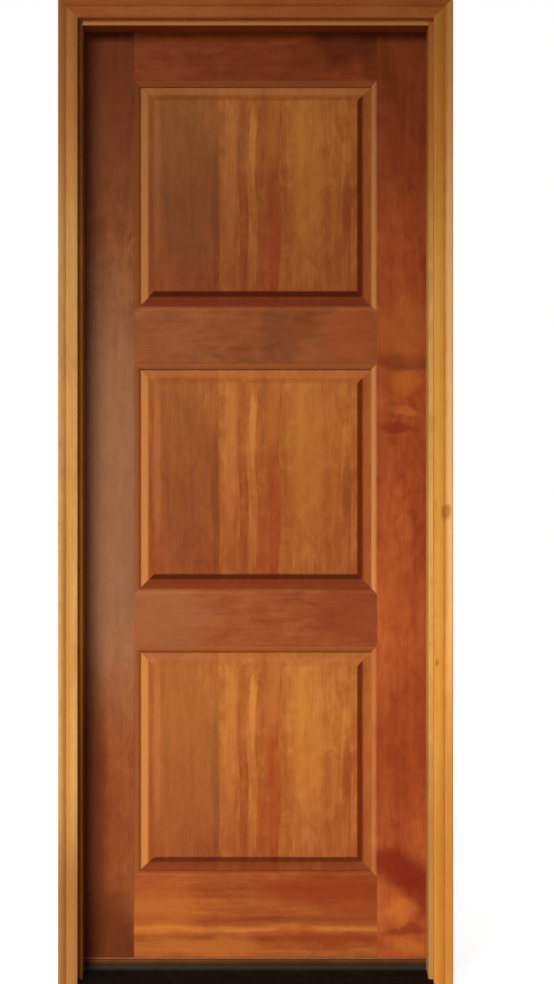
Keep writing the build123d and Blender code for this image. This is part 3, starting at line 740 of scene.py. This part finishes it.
LEFT_JAMB_SHADE = [
    # Painted shade at the top and at the foot
    (-0.46, 2.45, 0.60, 0.60, 0, FIGURE_AND_SHADE_BROWN, 0.3),
    (-0.46, 0.10, 0.60, 0.90, 0, linear(92, 44, 10), 0.75),
]
RIGHT_JAMB_SHADE = [
    # Painted shade at the top and at the foot
    (0.46, 2.50, 0.60, 0.70, 0, TOP_SHADE_ORANGE, 0.75),
    (0.46, 0.00, 0.60, 0.90, 0, FOOT_SHADE_BROWN, 0.6),
]


def dress_stiles(shading):
    """The two stiles: on the left a paler brown stain in the sticking that also paints light into its
    shade, with painted light in its deep drop; on the right a golden stain with a painted highlight,
    weaker beside the bottom panel.
    """
    # Paler stain that also lifts the sticking's shade, and painted light in the deep drop
    brown_and_light = [
        Moulding(BROWN_STAIN_AND_LIGHT, 0.8, LEFT_OVOLO_DEPTHS),
        Moulding(PAINTED_DEPTH_LIGHT, 0.35, PALE_DROP_DEPTHS),
    ]
    left = wood("left_stile_wood", STILE_LEFT, seed=1.3, mottles=0.6, blots=LEFT_STILE_LIGHT_AND_SHADE,
                drift=LEFT_STILE_DRIFT, mouldings=brown_and_light)
    dress("hinge_stile", left, shading)
    low_panel_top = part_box("bottom_panel")[1].z
    # Golden stain with a painted highlight, weaker beside the bottom panel
    gold_and_highlight = [
        Moulding(GOLD_STAIN_AND_HIGHLIGHT, 0.9, RIGHT_OVOLO_DEPTHS, over=low_panel_top),
        Moulding(GOLD_STAIN_AND_HIGHLIGHT, 0.4, RIGHT_OVOLO_DEPTHS, below=low_panel_top),
    ]
    right = wood("right_stile_wood", STILE_RIGHT, seed=4.1, mottles=0.55, blots=RIGHT_STILE_BLOTS,
                 mouldings=gold_and_highlight)
    dress("lock_stile", right, shading)


def rail_mouldings(name, upper_arris=None):
    """Painted light under a rail, a highlight on the sticking's arris and light into its shaded depth,
    and painted shade into the depth of the sticking over it.

    upper_arris is (stain, strength) for the edge of the sticking over the rail, where that has one:
    painted light on the upper middle rail, painted shade on the bottom rail.
    """
    height = middle(name)[2]
    mouldings = [
        # Painted highlight on the arris and painted light into the shaded depth, under the rail
        Moulding(PAINTED_ARRIS_HIGHLIGHT, 0.6, ARRIS_DEPTHS, below=height),
        Moulding(PAINTED_DEPTH_LIGHT, 0.4, PALE_DROP_DEPTHS, below=height),
    ]
    if upper_arris:
        mouldings.append(Moulding(*upper_arris, ARRIS_DEPTHS, over=height))
    # Painted shade into the depth over the rail
    mouldings.append(Moulding(PAINTED_DEPTH_SHADE, 0.5, DARK_DROP_DEPTHS, over=height))
    return mouldings


def dress_rails(shading):
    """The four rails, the bottom one with streaks."""
    rails = {
        "top_rail": (TOP_RAIL, 7.7, TOP_RAIL_BLOTS, None),
        # A faint painted highlight on the arris over this rail
        "upper_middle_rail": (RAIL, 9.2, UPPER_RAIL_BLOTS, (PAINTED_DEPTH_LIGHT, 0.1)),
        "lower_middle_rail": (LOWER_RAIL, 11.6, LOWER_RAIL_BLOTS, None),
    }
    for name, (tones, seed, blots, upper_arris) in rails.items():
        stain = wood(f"{name}_wood", tones, GRAIN_ACROSS, seed=seed, mottles=0.55, blots=blots,
                     mouldings=rail_mouldings(name, upper_arris))
        dress(name, stain, shading)
    low = wood("bottom_rail_wood", BOTTOM_RAIL, GRAIN_ACROSS, middle("bottom_rail"), seed=13.4,
               bands=0.35, fibres=0.2, clouds=0.2, strips=LOW_STREAKS, blots=BOTTOM_RAIL_BLOTS,
               # Painted shade on the arris over the bottom rail
               mouldings=rail_mouldings("bottom_rail", (PAINTED_DEPTH_SHADE, 0.25)))
    dress("bottom_rail", low, shading)


def panel_height_shade(lift):
    """The painted shade and light up a panel, with its upper half painted paler or darker towards the
    top.
    """
    stops = []
    for height, shade_factor in PANEL_HEIGHT_SHADE:
        factor = 1 + (lift - 1) * max(0.0, 2 * height - 1)
        stops.append((height, tuple(value * factor for value in shade_factor) + (1.0,)))
    return stops


def panel_field(name, panel):
    """A panel's flat field, inside its slopes and the tongue in the grooves, with its painted light and
    shade.
    """
    low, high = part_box(name)
    reach = SLOPE_REACH + PANEL_TONGUE
    half_width = (high.x - low.x) / 2 - reach
    half_height = (high.z - low.z) / 2 - reach
    sides = {
        "left": LEFT_SIDE,
        "right": RIGHT_SIDE,
        "top": Side(panel.top_slope, TOP_SLOPE_STRENGTH, TOP_HIP, TOP_HIP_STRENGTH),
        "bottom": Side(FOOT_SLOPE, panel.foot_slope_strength, FOOT_HIP, panel.foot_hip_strength),
    }
    return Field(half_width, half_height, panel_height_shade(panel.lift), sides)


def dress_panels(shading):
    """The three raised panels, glued up from the same staves."""
    for name, panel in PANELS.items():
        stain = wood(f"{name}_wood", PANEL, centre=middle(name), seed=2.2, bands=0.4, clouds=0.3,
                     mottles=0.5, strips=STAVES, staves=True, blots=PANEL_BLOTS + [panel.blot],
                     drift=PANEL_DRIFT, field=panel_field(name, panel))
        dress(name, stain, shading)


def dress_frame(shading):
    """The casings, the jambs and the sill's cap."""
    # The left jamb is darker than the right with painted shade
    uprights = {
        "left_brickmould": ("left_casing_wood", CASING_LEFT, 21.0, LEFT_CASING_LIGHT_AND_SHADE),
        "right_brickmould": ("right_casing_wood", CASING_RIGHT, 23.0, RIGHT_CASING_BLOTS),
        "hinge_jamb": ("hinge_jamb_wood", SHADED_LEFT_JAMB, 27.0, LEFT_JAMB_SHADE),
        "strike_jamb": ("strike_jamb_wood", RIGHT_JAMB, 28.0, RIGHT_JAMB_SHADE),
    }
    for node, (name, tones, seed, blots) in uprights.items():
        dress(node, wood(name, tones, seed=seed, blots=blots, drift=CASING_DRIFT), shading)
    # The head casing's darker tones are painted shade
    dress("head_brickmould", wood("head_casing_wood", SHADED_CASING_HEAD, GRAIN_ACROSS, seed=25.0), shading)
    # Painted light on the head jamb's front edge, against the head casing's shadow; its darker tones are
    # painted shade in the soffit
    edge = LitFront(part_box("head_jamb")[0].y + FRONT_EDGE_DEPTH, PAINTED_EDGE_LIGHT, 0.9)
    dress("head_jamb", wood("head_jamb_wood", SHADED_HEAD_JAMB, GRAIN_ACROSS, seed=29.0, front=edge), shading)
    # Painted shade on the sill cap, darker towards its foot
    cap = wood("sill_cap_wood", CAP, GRAIN_ACROSS, middle("sill_cap"), seed=31.0, bands=0.2, clouds=0.2,
               strips=CAP_PAINTED_SHADE)
    dress("sill_cap", cap, shading)


def dress_fittings(shading):
    """The sill, the hinges, the seals and the sweep; gives back the hinges' metal for their screws."""
    # A painted highlight along the tread's upper edge
    edge_highlight = EdgeHighlight(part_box("sill_tread")[1].z - EDGE_HIGHLIGHT_DROP, EDGE_HIGHLIGHT_SOFTNESS, TREAD_EDGE_HIGHLIGHT)
    tread = dark_metal("tread_bronze", TREAD_BLACK, smoothest=0.54, roughest=0.72, metallic=0.0,
                       gloss=0.04, edge_highlight=edge_highlight)
    dress("sill_tread", tread, shading)
    dress("sill_core", flecked_composite("core_compound", CORE_GREY), shading)
    bronze = dark_metal("hinge_bronze", HINGE_BROWN, smoothest=0.30, roughest=0.48, metallic=0.8,
                        gloss=0.5)
    for name in ("frame_hinge_leaves", "door_hinge_leaves", "hinge_pins"):
        dress(name, bronze, shading)
    seal = soft_rubber("seal_compound", SEAL_BROWN)
    for name in ("hinge_side_weatherstrip", "strike_side_weatherstrip", "head_weatherstrip"):
        dress(name, seal, shading)
    dress("door_sweep", soft_rubber("sweep_compound", SWEEP_TAN), shading)
    return bronze


# Hinges, and their screws: four in each leaf, in two staggered columns, placed from the leaf's middle and
# the pin
HINGES = 4
HINGE_LEAF_HEIGHT = 0.1016
KNUCKLE_RADIUS = 0.00675
SCREW_HEIGHTS = (-0.038, -0.013, 0.013, 0.038)
SCREW_DEPTHS = (-0.020, -0.036)

# A screw's head, and the cross in it: its arms' reach, its waist, the ring round it and its floor
SCREW_SIDES = 24
SCREW_RADIUS = 0.0046
SCREW_TOP_RADIUS = 0.00414
SCREW_RISE = 0.0004
CROSS_REACH = 0.0026
CROSS_WAIST = 0.0008
CROSS_RING_RADIUS = 0.00325
CROSS_FLOOR = 0.0001
CROSS_ARM_HALF_ANGLE = 1.5 * pi / SCREW_SIDES


def screw_head(mesh, origin, facing):
    """A low countersunk head with a cross recess, its face turned towards plus or minus X."""
    turn = Matrix.Translation(origin) @ Matrix.Rotation(facing * pi / 2, 4, "Y")
    angles = [2 * pi * step / SCREW_SIDES for step in range(SCREW_SIDES)]

    def ring(radii, rise):
        points = []
        for radius, angle in zip(radii, angles):
            points.append(mesh.verts.new(turn @ Vector((radius * cos(angle), radius * sin(angle), rise))))
        return points

    off_arms = [abs((angle + pi / 4) % (pi / 2) - pi / 4) for angle in angles]
    cross = [CROSS_REACH if off_arm < CROSS_ARM_HALF_ANGLE else CROSS_WAIST for off_arm in off_arms]
    rings = [
        ring([SCREW_RADIUS] * SCREW_SIDES, 0.0),
        ring([SCREW_TOP_RADIUS] * SCREW_SIDES, SCREW_RISE),
        ring([CROSS_RING_RADIUS] * SCREW_SIDES, SCREW_RISE),
        ring(cross, CROSS_FLOOR),
    ]
    for outer, inner in zip(rings, rings[1:]):
        for step in range(SCREW_SIDES):
            after = (step + 1) % SCREW_SIDES
            mesh.faces.new((outer[step], outer[after], inner[after], inner[step]))
    mesh.faces.new(rings[-1])


def hinge_screws(name, node, body, face_x, facing, material):
    """All the screws in one side's hinge leaves; facing is 1 towards plus X and -1 towards minus X."""
    mesh = bmesh.new()
    low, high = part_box(node)
    pin_y = high.y - KNUCKLE_RADIUS
    spacing = (high.z - low.z - HINGE_LEAF_HEIGHT) / (HINGES - 1)
    for hinge in range(HINGES):
        centre = low.z + HINGE_LEAF_HEIGHT / 2 + spacing * hinge
        for number, height in enumerate(SCREW_HEIGHTS):
            depth = SCREW_DEPTHS[number % len(SCREW_DEPTHS)]
            screw_head(mesh, Vector((face_x, pin_y + depth, centre + height)), facing)
    bmesh.ops.recalc_face_normals(mesh, faces=mesh.faces)
    data = bpy.data.meshes.new(name)
    mesh.to_mesh(data)
    mesh.free()
    data.materials.append(material)
    piece = bpy.data.objects.new(name, data)
    bpy.context.scene.collection.objects.link(piece)
    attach(piece, body)


# Studio: the light from all around, and the floor with its grey, size and glow, and the reach of shadows
AMBIENT_LEVEL = 0.15
FLOOR_GREY = 0.35
FLOOR_SIZE = 60
FLOOR_GLOW_FAR = 1.0
FLOOR_GLOW_NEAR = 0.8
SHADOW_REACH = 4.0


def seen_directly(graph):
    """One for rays from the camera, from a reflection or through glass, and none for lighting rays."""
    path = graph.add("ShaderNodeLightPath")
    seen = graph.math("ADD", path.outputs["Is Camera Ray"], path.outputs["Is Glossy Ray"])
    return graph.math("ADD", seen, path.outputs["Is Transmission Ray"], clamp=True)


def make_world():
    """A white surround to look at, and an even dim light from it."""
    world = bpy.data.worlds.new("studio")
    world.use_nodes = True
    bpy.context.scene.world = world
    graph = Graph(world.node_tree)
    background = graph.add("ShaderNodeBackground")
    colour = graph.mix(seen_directly(graph), grey(AMBIENT_LEVEL), grey(1.0))
    graph.join(colour, background.inputs["Color"])
    output = graph.add("ShaderNodeOutputWorld")
    graph.join(background.outputs["Background"], output.inputs["Surface"])


def make_floor():
    """A plain pale floor that looks white, and keeps the object's soft shadow near it."""
    material, graph = new_material("floor_paper")
    near = graph.radial(graph.mapping(graph.coordinates(), scale=(1 / SHADOW_REACH,) * 3))
    level = graph.spread(near, FLOOR_GLOW_FAR, FLOOR_GLOW_NEAR)
    glow = graph.math("MULTIPLY", seen_directly(graph), level)
    shadowed = graph.add("ShaderNodeBsdfDiffuse")
    shadowed.inputs["Color"].default_value = grey(FLOOR_GREY)
    white = graph.add("ShaderNodeEmission")
    graph.join(glow, white.inputs["Strength"])
    both = graph.add("ShaderNodeAddShader")
    graph.join(shadowed.outputs["BSDF"], both.inputs[0])
    graph.join(white.outputs["Emission"], both.inputs[1])
    output = graph.add("ShaderNodeOutputMaterial")
    graph.join(both.outputs["Shader"], output.inputs["Surface"])
    bpy.ops.mesh.primitive_plane_add(size=FLOOR_SIZE, location=(0, 0, 0))
    floor = bpy.context.object
    floor.name = "studio_floor"
    floor.data.materials.append(material)


def area_light(name, place, target, size, watts, spread=180.0):
    """A square soft box turned towards a point."""
    data = bpy.data.lights.new(name, "AREA")
    data.size = size
    data.energy = watts
    data.spread = radians(spread)
    lamp = bpy.data.objects.new(name, data)
    lamp.location = place
    lamp.rotation_euler = (Vector(target) - Vector(place)).to_track_quat("-Z", "Y").to_euler()
    bpy.context.scene.collection.objects.link(lamp)


def make_camera():
    """A level camera in front of the door's middle, with the picture's frame shifted to the right."""
    focal_pixels = CAMERA_DISTANCE / METRES_PER_PIXEL
    data = bpy.data.cameras.new("camera")
    data.sensor_width = SENSOR
    data.lens = SENSOR * focal_pixels / IMAGE_HEIGHT
    data.shift_x = OBJECT_LEFT_OF_CENTRE / IMAGE_HEIGHT
    camera = bpy.data.objects.new("camera", data)
    camera.location = (0, DOOR_FACE_Y - CAMERA_DISTANCE, CAMERA_HEIGHT)
    camera.rotation_euler = (radians(90), 0, 0)
    bpy.context.scene.collection.objects.link(camera)
    bpy.context.scene.camera = camera


shading_group = joined_shading()
dress_stiles(shading_group)
dress_rails(shading_group)
dress_panels(shading_group)
dress_frame(shading_group)
hinge_metal = dress_fittings(shading_group)

# The hinge leaves lie flush with the jamb's rebate, where the sill cap ends, and with the door's edge
rebate_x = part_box("sill_cap")[0].x
door_edge_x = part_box("hinge_stile")[0].x
hinge_screws("frame_hinge_screws", "frame_hinge_leaves", "frame", rebate_x, 1, hinge_metal)
hinge_screws("door_hinge_screws", "door_hinge_leaves", "door", door_edge_x, -1, hinge_metal)

make_world()
make_floor()
area_light("key", place=(-1.8, -3.9, 2.6), target=(0.0, 0.07, -0.6), size=2.6, watts=60, spread=72)
area_light("back_fill", place=(2.2, 4.2, 2.6), target=(0, 0.1, 1.2), size=2.5, watts=120)
make_camera()
bpy.context.scene.view_settings.view_transform = "Standard"
